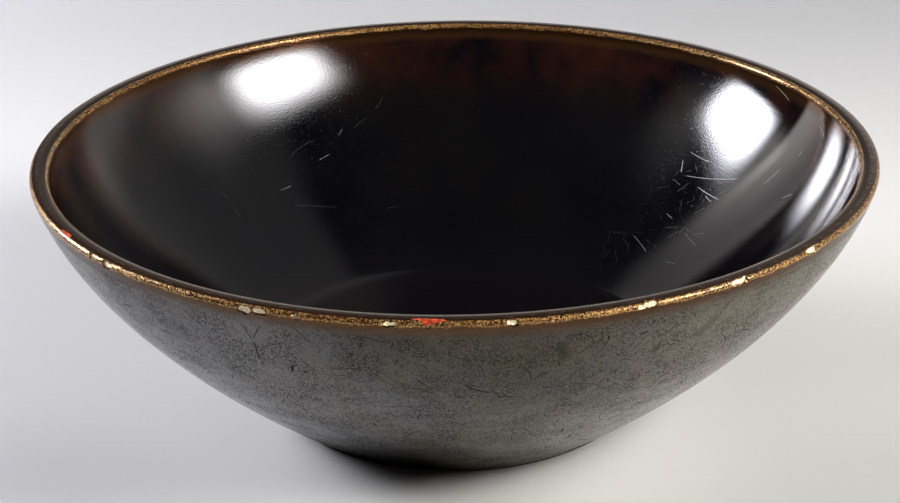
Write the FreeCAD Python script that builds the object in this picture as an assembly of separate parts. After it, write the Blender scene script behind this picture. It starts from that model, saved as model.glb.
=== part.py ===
import FreeCAD, Part
import math
import os

os.makedirs("parts", exist_ok=True)

# A wide one-piece stoneware bowl: a turned clay body, the fired glaze on it in four zones,
# and two red lacquer fills in old chips of the lip.
# Millimetres. The bowl's axis is Z, it stands on z = 0, and its front faces -Y.

# Overall form, measured over the glaze
rim_radius = 140.0
height = 90.4
foot_radius = 60.8

# Lip: a level top between two rounded edges, each running out into its wall
lip_flat_width = 3.1
lip_outer_round = 1.5
lip_inner_round = 1.8
lip_outer_skirt = 0.3
lip_inner_skirt = 1.0

# Outer wall, from a short upright heel to the steep wall under the lip
heel_height = 1.8
heel_tuck = 0.4
outer_top_slope = 71.0  # degrees above level
outer_top_reach_share = 0.545  # of the height

# Inside: a dished floor that joins a wall running nearly parallel to the outer one
floor_height = 11.0
low_wall_thickness = 8.3
inner_top_slope = 70.0  # degrees above level
inner_top_reach_share = 0.38  # of the height
inner_low_reach_share = 0.2  # of the height
floor_join_share = 0.3  # of the way up the outer wall's curve
floor_level_share = 0.45  # of the floor's radius, how far the level at its centre is felt
floor_turn_share = 0.6  # of the way down from the wall to the floor's corner

# Foot: a turned ring round a shallow recess
foot_ring_width = 7.0
foot_edge = 0.4
recess_depth = 4.5
recess_corner = 2.0

# Glaze
glaze_thickness = 0.5
outer_glaze_stop = 0.3  # above the floor
recess_glaze_stop = 1.0  # above the floor

# Chips and fills of the lip: widths along the rim, and how far a chip bites below the glaze
chip_width = 4.0
chip_bite_share = 0.1  # of the chip's own width
fill_width = 5.5
fill_bite_share = 0.03  # of the fill's own width

# Places round the lip, in degrees from +X towards +Y. A turn share of 0 is the lip's outer
# shoulder and 1 its outermost line. Negative shares lie on the level top, as shares of its width.
# The last number is the width, as a share of chip_width or fill_width.
chip_shares = [
    (218.7, 0.68, 0.38),
    (222.3, 0.85, 0.80),
    (244.4, 1.05, 0.95),
    (246.4, 0.85, 0.65),
    (250.9, 0.85, 0.38),
    (262.0, 0.72, 0.70),
    (266.7, 0.90, 0.50),
    (276.3, 0.81, 0.50),
    (292.0, 0.77, 0.55),
    (293.1, 0.47, 0.70),
    (305.9, 0.68, 0.95),
    (319.5, 0.60, 1.00),
]
front_fill_shares = [(265.4, 0.0, 0.50), (266.7, 0.20, 1.00), (267.9, 0.25, 0.50)]
left_fill_shares = [(210.6, 0.25, 0.85), (211.8, 0.05, 0.50)]

full_turn = 360.0  # degrees
quarter_turn = 90.0  # degrees
origin = FreeCAD.Vector(0, 0, 0)
axis = FreeCAD.Vector(0, 0, 1)


def place(radius, level):
    """A point of the bowl's half section."""
    return FreeCAD.Vector(radius, 0, level)


def direction(degrees):
    """A unit vector of the half section, measured up from level."""
    angle = math.radians(degrees)
    return place(math.cos(angle), math.sin(angle))


def left_of(step):
    """The unit vector square to a step of an outline, on its left, which is the bowl's inside."""
    return place(-step.z, step.x).normalize()


def inset(poles, distance):
    """The poles of a curve that runs beside the given one, a distance to its left."""
    steps = [later - earlier for earlier, later in zip(poles, poles[1:])]
    moved = []
    for number, pole in enumerate(poles):
        before = left_of(steps[max(number - 1, 0)])
        after = left_of(steps[min(number, len(steps) - 1)])
        mean = (before + after).normalize()
        moved.append(pole + mean * (distance / mean.dot(after)))
    return moved


def curve(poles):
    bezier = Part.BezierCurve()
    bezier.setPoles(poles)
    return bezier


def straight(start, end):
    return Part.LineSegment(start, end).toShape()


def rounded(centre, radius, start_degrees, end_degrees):
    """An arc of the half section between two directions from its centre."""
    middle_degrees = (start_degrees + end_degrees) / 2
    points = [centre + direction(turn) * radius for turn in (start_degrees, middle_degrees, end_degrees)]
    return Part.Arc(*points).toShape()


def turned(edges):
    """The solid that a closed half section makes round the bowl's axis."""
    section = Part.Face(Part.Wire(Part.__sortEdges__(edges)))
    return section.revolve(origin, axis, full_turn)


def lip_edges(depth):
    """The lip's outline, from its outer skirt over the top to its inner skirt, a depth below the glaze."""
    outer_arc = rounded(outer_centre, lip_outer_round - depth, outer_top_slope - quarter_turn, quarter_turn)
    inner_arc = rounded(inner_centre, lip_inner_round - depth, quarter_turn, quarter_turn + inner_top_slope)
    outer_end = lip_outer_end + left_of(direction(outer_top_slope)) * depth
    inner_end = lip_inner_end - left_of(direction(inner_top_slope)) * depth
    outer_skirt = straight(outer_end, outer_end + direction(outer_top_slope) * lip_outer_skirt)
    top = straight(place(outer_centre.x, height - depth), place(inner_centre.x, height - depth))
    inner_skirt = straight(inner_end + direction(inner_top_slope) * lip_inner_skirt, inner_end)
    return [outer_skirt, outer_arc, top, inner_arc, inner_skirt]


def recess_edges(depth, lowest):
    """The recess's outline from the axis to a level of its wall, a depth below the clay."""
    radius = recess_radius - depth
    ceiling = recess_depth - depth
    corner = recess_corner - depth
    corner_centre = place(radius - corner, ceiling - corner)
    return [
        straight(place(0, ceiling), place(corner_centre.x, ceiling)),
        rounded(corner_centre, corner, quarter_turn, 0),
        straight(place(radius, corner_centre.z), place(radius, lowest)),
    ]


# Corners of the half section
outer_centre = place(rim_radius - lip_outer_round, height - lip_outer_round)
inner_centre = place(outer_centre.x - lip_flat_width, height - lip_inner_round)
recess_radius = foot_radius - glaze_thickness - foot_ring_width

# Ends of the lip's skirts, on the glaze
outer_tangent = outer_centre - left_of(direction(outer_top_slope)) * lip_outer_round
inner_tangent = inner_centre + left_of(direction(inner_top_slope)) * lip_inner_round
lip_outer_end = outer_tangent - direction(outer_top_slope) * lip_outer_skirt
lip_inner_end = inner_tangent - direction(inner_top_slope) * lip_inner_skirt

# Outer wall on the glaze and, beside it, on the clay
outer_poles = [
    place(foot_radius, outer_glaze_stop),
    place(foot_radius - heel_tuck, outer_glaze_stop + heel_height),
    lip_outer_end - direction(outer_top_slope) * (height * outer_top_reach_share),
    lip_outer_end,
]
outer_curve = curve(outer_poles)
outer_clay_poles = inset(outer_poles, glaze_thickness)
outer_clay_curve = curve(outer_clay_poles)

# Inner wall and floor on the glaze: the floor's end lies square across the wall from the outer curve
across = outer_curve.value(floor_join_share)
join_run = outer_curve.tangent(floor_join_share)[0]
join = across + left_of(join_run) * low_wall_thickness
join_rise = join.z - floor_height
inner_wall_poles = [
    join,
    join + join_run * (height * inner_low_reach_share),
    lip_inner_end - direction(inner_top_slope) * (height * inner_top_reach_share),
    lip_inner_end,
]
floor_poles = [
    place(0, floor_height),
    place(join.x * floor_level_share, floor_height),
    join - join_run * (join_rise * floor_turn_share / join_run.z),
    join,
]
inner_clay_wall_poles = inset(inner_wall_poles, -glaze_thickness)
floor_clay_poles = inset(floor_poles, -glaze_thickness)
floor_clay_poles[-1] = inner_clay_wall_poles[0]

# Ends of the glaze zones on the clay
clay_outer_low = outer_clay_poles[0]
clay_outer_high = outer_clay_poles[-1]
clay_inner_high = inner_clay_wall_poles[-1]
clay_floor_centre = floor_clay_poles[0]
foot_inner_edge = place(recess_radius, foot_edge)


def make_clay_body():
    """The fired body, with its foot ring left bare where it stands."""
    ring_outer = place(clay_outer_low.x - foot_edge, 0)
    ring_inner = place(recess_radius + foot_edge, 0)
    edges = [
        *recess_edges(0, foot_edge),
        straight(foot_inner_edge, ring_inner),
        straight(ring_inner, ring_outer),
        straight(ring_outer, clay_outer_low),
        outer_clay_curve.toShape(),
        *lip_edges(glaze_thickness),
        curve(inner_clay_wall_poles).toShape(),
        curve(floor_clay_poles).toShape(),
        straight(clay_floor_centre, place(0, recess_depth)),
    ]
    return turned(edges)


def make_outer_glaze():
    """The outside coat, from just above the foot's edge to the lip."""
    edges = [
        outer_curve.toShape(),
        straight(lip_outer_end, clay_outer_high),
        outer_clay_curve.toShape(),
        straight(clay_outer_low, outer_poles[0]),
    ]
    return turned(edges)


def make_lip_glaze():
    """The coat over the lip, thin enough at its edges to break brown."""
    edges = [
        *lip_edges(0),
        straight(lip_inner_end, clay_inner_high),
        *lip_edges(glaze_thickness),
        straight(clay_outer_high, lip_outer_end),
    ]
    return turned(edges)


def make_inner_glaze():
    """The inside coat, over the floor and up the wall to the lip."""
    edges = [
        curve(floor_poles).toShape(),
        curve(inner_wall_poles).toShape(),
        straight(lip_inner_end, clay_inner_high),
        curve(inner_clay_wall_poles).toShape(),
        curve(floor_clay_poles).toShape(),
        straight(clay_floor_centre, place(0, floor_height)),
    ]
    return turned(edges)


def make_base_glaze():
    """The coat inside the foot ring."""
    edges = [
        *recess_edges(0, recess_glaze_stop),
        straight(place(recess_radius, recess_glaze_stop), place(recess_radius - glaze_thickness, recess_glaze_stop)),
        *recess_edges(glaze_thickness, recess_glaze_stop),
        straight(place(0, recess_depth - glaze_thickness), place(0, recess_depth)),
    ]
    return turned(edges)


def make_envelope():
    """Everything inside the glazed surface, above the foot's outer edge."""
    edges = [
        outer_curve.toShape(),
        *lip_edges(0),
        curve(inner_wall_poles).toShape(),
        curve(floor_poles).toShape(),
        straight(place(0, floor_height), place(0, outer_glaze_stop)),
        straight(place(0, outer_glaze_stop), outer_poles[0]),
    ]
    return turned(edges)


def lip_dent(degrees, turn_share, width, depth):
    """A ball that dents the lip to a width along the rim and a depth, at a place of the lip's outline."""
    if turn_share < 0:
        surface = place(outer_centre.x + turn_share * lip_flat_width, height)
        outward = direction(quarter_turn)
    else:
        outward = direction(quarter_turn * (1 - turn_share))
        surface = outer_centre + outward * lip_outer_round
    ball_radius = (width * width / 4 + depth * depth) / (2 * depth)
    centre = surface + outward * (ball_radius - depth)
    spin = FreeCAD.Rotation(axis, degrees)
    return Part.makeSphere(ball_radius, spin.multVec(centre))


def joined(shapes):
    return shapes[0].multiFuse(shapes[1:]) if len(shapes) > 1 else shapes[0]


def make_chips():
    """The spaces that the broken-out chips leave."""
    dents = []
    for degrees, turn_share, width_share in chip_shares:
        width = chip_width * width_share
        dents.append(lip_dent(degrees, turn_share, width, glaze_thickness + width * chip_bite_share))
    return dents


def make_fill_space(places):
    """The space of one filled chip, made of a few dents that run together."""
    dents = []
    for degrees, turn_share, width_share in places:
        width = fill_width * width_share
        dents.append(lip_dent(degrees, turn_share, width, glaze_thickness + width * fill_bite_share))
    return joined(dents)


chips = make_chips()
front_space = make_fill_space(front_fill_shares)
left_space = make_fill_space(left_fill_shares)
envelope = make_envelope()

nodes = {
    "clay_body": make_clay_body().cut([*chips, front_space, left_space]),
    "outer_glaze": make_outer_glaze().cut(chips),
    "lip_glaze": make_lip_glaze().cut([*chips, front_space, left_space]),
    "inner_glaze": make_inner_glaze(),
    "base_glaze": make_base_glaze(),
    "front_fill": front_space.common(envelope).cut(chips),
    "left_fill": left_space.common(envelope).cut(chips),
}

for name, shape in nodes.items():
    solids = shape.Solids
    whole = solids[0] if len(solids) == 1 else Part.makeCompound(solids)
    whole.exportStep(f"parts/{name}.step")
    box = whole.optimalBoundingBox(False)
    spans = [round(span, 2) for span in (box.XLength, box.YLength, box.ZMin, box.ZMax)]
    print(name, len(solids), "solid", "valid" if whole.isValid() else "not valid", round(whole.Volume, 1), "mm3", spans)
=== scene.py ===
import math
import bmesh
import bpy
from mathutils import Matrix, Quaternion, Vector, noise


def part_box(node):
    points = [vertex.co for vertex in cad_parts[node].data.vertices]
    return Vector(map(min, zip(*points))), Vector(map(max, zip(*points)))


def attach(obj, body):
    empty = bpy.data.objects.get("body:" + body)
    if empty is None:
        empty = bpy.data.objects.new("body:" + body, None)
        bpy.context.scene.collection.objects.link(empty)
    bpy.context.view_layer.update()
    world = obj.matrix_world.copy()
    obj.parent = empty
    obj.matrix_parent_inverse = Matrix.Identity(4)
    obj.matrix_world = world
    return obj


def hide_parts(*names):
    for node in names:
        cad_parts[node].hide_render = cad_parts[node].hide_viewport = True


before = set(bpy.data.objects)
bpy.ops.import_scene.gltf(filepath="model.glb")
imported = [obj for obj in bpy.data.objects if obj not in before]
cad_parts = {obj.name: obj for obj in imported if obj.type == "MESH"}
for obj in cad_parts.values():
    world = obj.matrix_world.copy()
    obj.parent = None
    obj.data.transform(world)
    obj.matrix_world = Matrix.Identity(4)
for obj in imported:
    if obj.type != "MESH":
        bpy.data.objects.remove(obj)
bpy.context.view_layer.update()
print("frame loaded:", ", ".join(sorted(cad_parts)))

# The bowl turns about Z and stands on z = 0, with its front towards -Y.
# Lengths are in metres, and slopes in degrees above level.
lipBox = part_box("lip_glaze")
bowl = {
    "rimRadius": min(abs(value) for corner in lipBox for value in corner[:2]),
    "height": lipBox[1].z,
    "footRadius": 0.0608,
    "lipFlat": 0.0031,
    "lipOuterRound": 0.0015,
    "lipInnerRound": 0.0018,
    "lipOuterSkirt": 0.0003,
    "lipInnerSkirt": 0.0010,
    "heelHeight": 0.0018,
    "heelTuck": 0.0004,
    "outerTopSlope": 71.0,
    "outerTopReach": 0.0493,
    "floorHeight": 0.0110,
    "lowWall": 0.0083,
    "innerTopSlope": 70.0,
    "innerTopReach": 0.0344,
    "innerLowReach": 0.0181,
    "floorJoin": 0.3,  # share of the outer wall's curve
    "floorLevel": 0.45,  # share of the floor's radius
    "floorTurn": 0.6,  # share of the drop from the wall to the floor's corner
    "footRing": 0.0070,
    "footEdge": 0.0004,
    "recess": 0.0045,
    "recessCorner": 0.0020,
    "glaze": 0.0005,
    "outerGlazeStop": 0.0003,
    "recessGlazeStop": 0.0010,
}
fullTurn = 2 * math.pi
mm = 0.001

# how finely the outlines and their turns are made
detail = {
    "sectors": 24,
    "lipSteps": 720,
    "wallSteps": 480,
    "claySteps": 360,
    "wall": 56,
    "floor": 40,
    "clayOuter": 30,
    "skinInside": 20,
    "clayFloor": 12,
    "lip": 14,
    "lipInside": 8,
    "clayLip": 6,
    "clayRecess": 6,
    "recess": 10,
    "curveEnds": (0.0, 0.002, 0.008),
    "curveMargin": 0.02,
    "tangentStep": 0.001,
    "lipTop": (0.05, 0.5, 0.95),
    "outerSkirt": (0.0, 0.3),
    "innerSkirt": (0.9, 0.3, 0.0),
    "recessCeiling": (0, 0.2, 0.5, 0.8),
    "sharpEdge": 35.0,
    "sharpCut": 32.0,
    "sharpLump": 80.0,
    "weld": 2e-6,
    "sliver": 1e-6,
}


def at(radius, level):
    return Vector((radius, 0.0, level))


def heading(degrees):
    return at(math.cos(math.radians(degrees)), math.sin(math.radians(degrees)))


def leftOf(step):
    return at(-step.z, step.x).normalized()


# a curve's poles moved to its left, which gives a parallel skin
def inset(poles, distance):
    steps = [later - earlier for earlier, later in zip(poles, poles[1:])]
    moved = []
    for number, pole in enumerate(poles):
        before = leftOf(steps[max(number - 1, 0)])
        after = leftOf(steps[min(number, len(steps) - 1)])
        mean = (before + after).normalized()
        moved.append(pole + mean * (distance / mean.dot(after)))
    return moved


def curvePoint(poles, share):
    while len(poles) > 1:
        poles = [a.lerp(b, share) for a, b in zip(poles, poles[1:])]
    return poles[0]


# points along a curve, crowded at its ends so that neighbouring pieces meet with the same slope
def curvePoints(poles, count):
    ends = detail["curveEnds"]
    margin = detail["curveMargin"]
    middle = [margin + (1 - 2 * margin) * number / count for number in range(count + 1)]
    shares = [*ends, *middle, *[1 - share for share in reversed(ends)]]
    return [curvePoint(poles, share) for share in shares]


def arcPoints(centre, radius, start, end, count):
    return [centre + heading(start + (end - start) * number / count) * radius for number in range(count + 1)]


outerCentre = at(bowl["rimRadius"] - bowl["lipOuterRound"], bowl["height"] - bowl["lipOuterRound"])
innerCentre = at(outerCentre.x - bowl["lipFlat"], bowl["height"] - bowl["lipInnerRound"])
outerUp = heading(bowl["outerTopSlope"])
innerUp = heading(bowl["innerTopSlope"])
lipOuterEnd = outerCentre - leftOf(outerUp) * bowl["lipOuterRound"] - outerUp * bowl["lipOuterSkirt"]
lipInnerEnd = innerCentre + leftOf(innerUp) * bowl["lipInnerRound"] - innerUp * bowl["lipInnerSkirt"]
recessRadius = bowl["footRadius"] - bowl["glaze"] - bowl["footRing"]

outerPoles = [
    at(bowl["footRadius"], bowl["outerGlazeStop"]),
    at(bowl["footRadius"] - bowl["heelTuck"], bowl["outerGlazeStop"] + bowl["heelHeight"]),
    lipOuterEnd - outerUp * bowl["outerTopReach"],
    lipOuterEnd,
]
joinOutside = curvePoint(outerPoles, bowl["floorJoin"])
joinRun = (curvePoint(outerPoles, bowl["floorJoin"] + detail["tangentStep"]) - joinOutside).normalized()
join = joinOutside + leftOf(joinRun) * bowl["lowWall"]
innerPoles = [
    join,
    join + joinRun * bowl["innerLowReach"],
    lipInnerEnd - innerUp * bowl["innerTopReach"],
    lipInnerEnd,
]
floorPoles = [
    at(0, bowl["floorHeight"]),
    at(join.x * bowl["floorLevel"], bowl["floorHeight"]),
    join - joinRun * ((join.z - bowl["floorHeight"]) * bowl["floorTurn"] / joinRun.z),
    join,
]
outerClayPoles = inset(outerPoles, bowl["glaze"])
innerClayPoles = inset(innerPoles, -bowl["glaze"])
floorClayPoles = inset(floorPoles, -bowl["glaze"])
floorClayPoles[-1] = innerClayPoles[0]


# the lip's outline from its outer skirt over the top to its inner skirt, a depth below the glaze
def lipPoints(depth, count):
    outer = arcPoints(outerCentre, bowl["lipOuterRound"] - depth, bowl["outerTopSlope"] - 90, 90, count)
    inner = arcPoints(innerCentre, bowl["lipInnerRound"] - depth, 90, 90 + bowl["innerTopSlope"], count)
    top = [outer[-1].lerp(inner[0], share) for share in detail["lipTop"]]
    outerEnd = lipOuterEnd + leftOf(outerUp) * depth
    innerEnd = lipInnerEnd - leftOf(innerUp) * depth
    outerSkirt = [outerEnd.lerp(outer[0], share) for share in detail["outerSkirt"]]
    innerSkirt = [innerEnd.lerp(inner[-1], share) for share in detail["innerSkirt"]]
    return outerSkirt + outer + top + inner + innerSkirt


# the foot recess from the axis to a level of its wall, a depth below the clay
def recessPoints(depth, lowest, count):
    corner = bowl["recessCorner"] - depth
    centre = at(recessRadius - depth - corner, bowl["recess"] - depth - corner)
    ceiling = [at(centre.x * share, bowl["recess"] - depth) for share in detail["recessCeiling"]]
    return ceiling + arcPoints(centre, corner, 90, 0, count) + [at(recessRadius - depth, lowest)]


# smooth except at edges sharper than the given angle
def smoothFaces(bm, sharp):
    for face in bm.faces:
        face.smooth = True
    for edge in bm.edges:
        edge.smooth = len(edge.link_faces) != 2 or edge.calc_face_angle(0.0) <= math.radians(sharp)


def finishMesh(name, bm, sharp=detail["sharpEdge"]):
    smoothFaces(bm, sharp)
    mesh = bpy.data.meshes.new(name)
    bm.to_mesh(mesh)
    bm.free()
    piece = bpy.data.objects.new(name, mesh)
    bpy.context.scene.collection.objects.link(piece)
    return piece


# a half section spun about the bowl's axis: one sector first, then its copies round the whole turn
def turned(name, outline, steps=detail["lipSteps"]):
    bm = bmesh.new()
    points = [bm.verts.new(point) for point in outline]
    edges = [bm.edges.new(pair) for pair in zip(points, points[1:])]
    if outline[0].x > 0 or outline[-1].x > 0:
        edges.append(bm.edges.new((points[-1], points[0])))
    sectors = detail["sectors"]
    sector = fullTurn / sectors
    about = {"cent": (0, 0, 0), "axis": (0, 0, 1), "dvec": (0, 0, 0), "use_merge": False}
    bmesh.ops.spin(bm, geom=points + edges, angle=sector, steps=steps // sectors, **about)
    about.update({"angle": fullTurn - sector, "use_duplicate": True})
    bmesh.ops.spin(bm, geom=bm.verts[:] + bm.edges[:] + bm.faces[:], steps=sectors - 1, **about)
    bmesh.ops.remove_doubles(bm, verts=bm.verts, dist=detail["weld"])
    bmesh.ops.recalc_face_normals(bm, faces=bm.faces)
    return finishMesh(name, bm)


# Chips and fills of the lip. A place is degrees round the rim from +X, a turn round the lip's outer
# edge (0 is the shoulder, 1 the outermost line), a width share, and a share of that for the height.
lipDamage = {
    "chipWidth": 0.0062,
    "chipDepth": 0.00085,
    "chipRagged": 0.33,
    "chips": [
        (218.7, 0.68, 0.38, 0.9), (222.3, 0.85, 0.80, 0.95), (244.4, 1.05, 0.95, 0.62),
        (246.4, 0.85, 0.65, 0.8), (250.9, 0.85, 0.38, 1.0), (262.0, 0.72, 0.70, 0.85),
        (266.7, 1.00, 0.26, 0.8), (276.3, 0.81, 0.50, 1.1), (292.0, 0.77, 0.55, 0.9),
        (293.1, 0.47, 0.70, 0.8), (305.9, 0.68, 0.95, 0.75), (319.5, 0.60, 1.00, 0.62),
    ],
    "fillWidth": 0.0055,
    "fillDepth": 0.00055,
    "fillRagged": 0.25,
    "frontFill": [
        (265.4, -0.1, 0.62, 0.30), (266.7, 0.20, 1.0, 0.52),
        (267.8, 0.05, 0.70, 0.30), (266.6, 0.55, 0.55, 0.7),
    ],
    "leftFill": [(210.6, 0.25, 0.85, 0.45), (211.8, 0.05, 0.60, 0.4)],
    # noise that makes a lump uneven: its scale, its strength and its step from one seed to the next
    "unevenness": [(1.3, 1.6, Vector((7.1, 0, 0))), (3.7, 0.7, Vector((0, 5.3, 0)))],
    "subdivisions": 4,
    "seeds": {"chipsA": 1, "chipsB": 11, "frontFill": 21, "leftFill": 31},
}


# an uneven lump half sunk in the lip, sized along the rim, across the lip and into it
def addLump(bm, place, kind, seed):
    degrees, turn, widthShare, heightShare = place
    ragged = lipDamage[kind + "Ragged"]
    outward = heading(90 * (1 - max(turn, 0)))
    if turn < 0:
        surface = at(outerCentre.x + turn * bowl["lipFlat"], bowl["height"])
    else:
        surface = outerCentre + outward * bowl["lipOuterRound"]
    across = leftOf(outward)
    along = Vector((0, 1, 0))
    width = lipDamage[kind + "Width"] * widthShare
    depth = outward * lipDamage[kind + "Depth"]
    axes = Matrix((along * width / 2, across * width * heightShare / 2, depth)).transposed().to_4x4()
    turnedBy = Matrix.Rotation(math.radians(degrees), 4, "Z")
    made = bmesh.ops.create_icosphere(bm, subdivisions=lipDamage["subdivisions"], radius=1.0)["verts"]
    for vert in made:
        shifts = [noise.noise(vert.co * scale + step * seed) * strength * ragged
                  for scale, strength, step in lipDamage["unevenness"]]
        vert.co *= 1 + sum(shifts)
    bmesh.ops.transform(bm, matrix=turnedBy @ Matrix.Translation(surface) @ axes, verts=made)


# lumps in one object; their second material shows where they cut a piece
def lumpObject(name, places, kind, seed):
    bm = bmesh.new()
    for number, place in enumerate(places):
        addLump(bm, place, kind, seed + number)
    piece = finishMesh(name, bm, detail["sharpLump"])
    piece.data.materials.append(None)
    piece.data.materials.append(None)
    for face in piece.data.polygons:
        face.material_index = 1
    return piece


# replaces a piece's mesh by the result of a cut, an overlap or a join with a tool piece
def combine(piece, tool, operation):
    change = piece.modifiers.new("combine", "BOOLEAN")
    change.operation = operation
    change.solver = "MANIFOLD"
    change.object = tool
    bpy.context.view_layer.update()
    shown = piece.evaluated_get(bpy.context.evaluated_depsgraph_get())
    mesh = bpy.data.meshes.new_from_object(shown)
    old = piece.data
    piece.modifiers.clear()
    piece.data = mesh
    mesh.name = piece.name
    bpy.data.meshes.remove(old)


# sharp edges again after cutting, and slivers merged
def cleanCut(piece):
    bm = bmesh.new()
    bm.from_mesh(piece.data)
    bmesh.ops.remove_doubles(bm, verts=bm.verts, dist=detail["weld"])
    bmesh.ops.dissolve_degenerate(bm, dist=detail["sliver"], edges=bm.edges)
    smoothFaces(bm, detail["sharpCut"])
    bm.to_mesh(piece.data)
    bm.free()


clayInside = [
    *reversed(curvePoints(innerClayPoles, detail["skinInside"])),
    *list(reversed(curvePoints(floorClayPoles, detail["clayFloor"])))[1:],
]
clayBody = turned("clayBody", [
    *recessPoints(0, bowl["footEdge"], detail["clayRecess"]),
    at(recessRadius + bowl["footEdge"], 0),
    at(outerClayPoles[0].x - bowl["footEdge"], 0),
    *curvePoints(outerClayPoles, detail["clayOuter"]),
    *lipPoints(bowl["glaze"], detail["clayLip"])[1:-1],
    *clayInside,
], detail["claySteps"])
outerGlaze = turned("outerGlaze", [
    *curvePoints(outerPoles, detail["wall"]),
    *reversed(curvePoints(outerClayPoles, detail["skinInside"])),
], detail["wallSteps"])
lipGlaze = turned("lipGlaze", [
    *lipPoints(0, detail["lip"]),
    *reversed(lipPoints(bowl["glaze"], detail["lipInside"])),
])
innerGlaze = turned("innerGlaze", [
    *curvePoints(floorPoles, detail["floor"]),
    *curvePoints(innerPoles, detail["wall"])[1:],
    *clayInside,
], detail["wallSteps"])
baseGlaze = turned("baseGlaze", [
    *recessPoints(0, bowl["recessGlazeStop"], detail["recess"]),
    *reversed(recessPoints(bowl["glaze"], bowl["recessGlazeStop"], detail["recess"])),
], detail["claySteps"])
lipSpace = turned("lipSpace", lipPoints(0, detail["lip"]))
print("turned pieces made")

# neighbouring chips go to different cutters, so that no cutter runs into itself
chipsA = lumpObject("chipsA", lipDamage["chips"][0::2], "chip", lipDamage["seeds"]["chipsA"])
chipsB = lumpObject("chipsB", lipDamage["chips"][1::2], "chip", lipDamage["seeds"]["chipsB"])


# a fill of several lumps joined into one
def fillPiece(name):
    places = lipDamage[name]
    seed = lipDamage["seeds"][name]
    piece = lumpObject(name, places[:1], "fill", seed)
    for number, place in enumerate(places[1:]):
        lobe = lumpObject(name + "Lobe", [place], "fill", seed + number)
        combine(piece, lobe, "UNION")
        bpy.data.objects.remove(lobe)
    return piece


frontFill = fillPiece("frontFill")
leftFill = fillPiece("leftFill")
for piece in (lipGlaze, outerGlaze, clayBody):
    for tool in (chipsA, chipsB):
        combine(piece, tool, "DIFFERENCE")
for piece in (lipGlaze, clayBody):
    for tool in (frontFill, leftFill):
        combine(piece, tool, "DIFFERENCE")
for piece in (frontFill, leftFill):
    combine(piece, lipSpace, "INTERSECT")
    for tool in (chipsA, chipsB):
        combine(piece, tool, "DIFFERENCE")
for tool in (chipsA, chipsB, lipSpace):
    bpy.data.objects.remove(tool)
for piece in (lipGlaze, outerGlaze, clayBody, frontFill, leftFill):
    cleanCut(piece)
    print(piece.name, len(piece.data.polygons), "faces after the chips")


# Shader helpers: an input may be a value or another node's output
def fill(item, inputs):
    for name, value in inputs.items():
        if isinstance(value, bpy.types.NodeSocket):
            item.id_data.links.new(value, item.inputs[name])
        else:
            item.inputs[name].default_value = value


def addNode(tree, kind, inputs=None, **settings):
    item = tree.nodes.new("ShaderNode" + kind)
    for name, value in settings.items():
        setattr(item, name, value)
    fill(item, inputs or {})
    return item


def maths(tree, operation, first, second=0.0, third=0.0):
    item = addNode(tree, "Math", {0: first, 1: second, 2: third}, operation=operation)
    return item.outputs[0]


def times(tree, first, second):
    return maths(tree, "MULTIPLY", first, second)


def rest(tree, share):
    return maths(tree, "SUBTRACT", 1.0, share)


# a row of values put together by one operation
def folded(tree, operation, values):
    total = values[0]
    for value in values[1:]:
        total = maths(tree, operation, total, value)
    return total


def strongest(tree, values):
    return folded(tree, "MAXIMUM", values)


def product(tree, values):
    return folded(tree, "MULTIPLY", values)


def vectorMaths(tree, operation, first, second=(0, 0, 0)):
    item = addNode(tree, "VectorMath", {0: first, 1: second}, operation=operation)
    return item.outputs["Value" if operation in ("LENGTH", "DISTANCE", "DOT_PRODUCT") else "Vector"]


def axes(tree, vector):
    return addNode(tree, "SeparateXYZ", {0: vector}).outputs


def mixColour(tree, share, first, second):
    item = addNode(tree, "Mix", {0: share, 6: first, 7: second}, data_type="RGBA")
    return item.outputs[2]


# colours laid over a first one, each by its share
def layered(tree, colour, *layers):
    for share, upper in layers:
        colour = mixColour(tree, share, colour, upper)
    return colour


def mixValue(tree, share, first, second):
    return addNode(tree, "Mix", {0: share, 2: first, 3: second}).outputs[0]


# a smooth step from one value to another while the input goes from low to high, or from high to low
def ease(tree, value, low, high, start=0.0, end=1.0):
    inputs = {"Value": value, "From Min": low, "From Max": high, "To Min": start, "To Max": end}
    item = addNode(tree, "MapRange", inputs, interpolation_type="SMOOTHSTEP")
    return item.outputs["Result"]


# a smooth window: one between its low and high end, and soft beyond them
def window(tree, value, low, high, soft):
    rising = ease(tree, value, low - soft, low + soft)
    return times(tree, rising, ease(tree, value, high + soft, high - soft))


def noiseValue(tree, place, scale, detail=2.0, roughness=0.5):
    inputs = {"Vector": place, "Scale": scale, "Detail": detail, "Roughness": roughness}
    return addNode(tree, "TexNoise", inputs).outputs[0]


# a noise eased between two of its levels
def patches(tree, place, scale, detail, roughness, low, high, start=0.0, end=1.0):
    return ease(tree, noiseValue(tree, place, scale, detail, roughness), low, high, start, end)


# a group's tree, its inputs' sockets and the node that takes its outputs
def newGroup(name, vectors, values, outputs):
    tree = bpy.data.node_groups.new(name, "ShaderNodeTree")
    sockets = (("INPUT", "Vector", vectors), ("INPUT", "Float", values), ("OUTPUT", "Float", outputs))
    for way, kind, labels in sockets:
        for label in labels.split():
            tree.interface.new_socket(name=label, in_out=way, socket_type="NodeSocket" + kind)
    return tree, tree.nodes.new("NodeGroupInput").outputs, tree.nodes.new("NodeGroupOutput")


def useGroup(tree, group, *values):
    return addNode(tree, "Group", dict(enumerate(values)), node_tree=group).outputs


# height above the foot and distance from the axis
def makePlaceGroup():
    tree, given, result = newGroup("bowl place", "Place", "", "Height Radius")
    parts = axes(tree, given["Place"])
    flat = vectorMaths(tree, "MULTIPLY", given["Place"], (1, 1, 0))
    fill(result, {"Height": parts["Z"], "Radius": vectorMaths(tree, "LENGTH", flat)})
    return tree


# how a line fades at its edges and ends, as shares of its width and its length
lineFade = {"width": (0.2, 0.8), "length": (0.3, 0.5)}


def fadeBeyond(tree, value, size, shares):
    full, none = [times(tree, size, share) for share in shares]
    return ease(tree, value, none, full)


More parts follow.
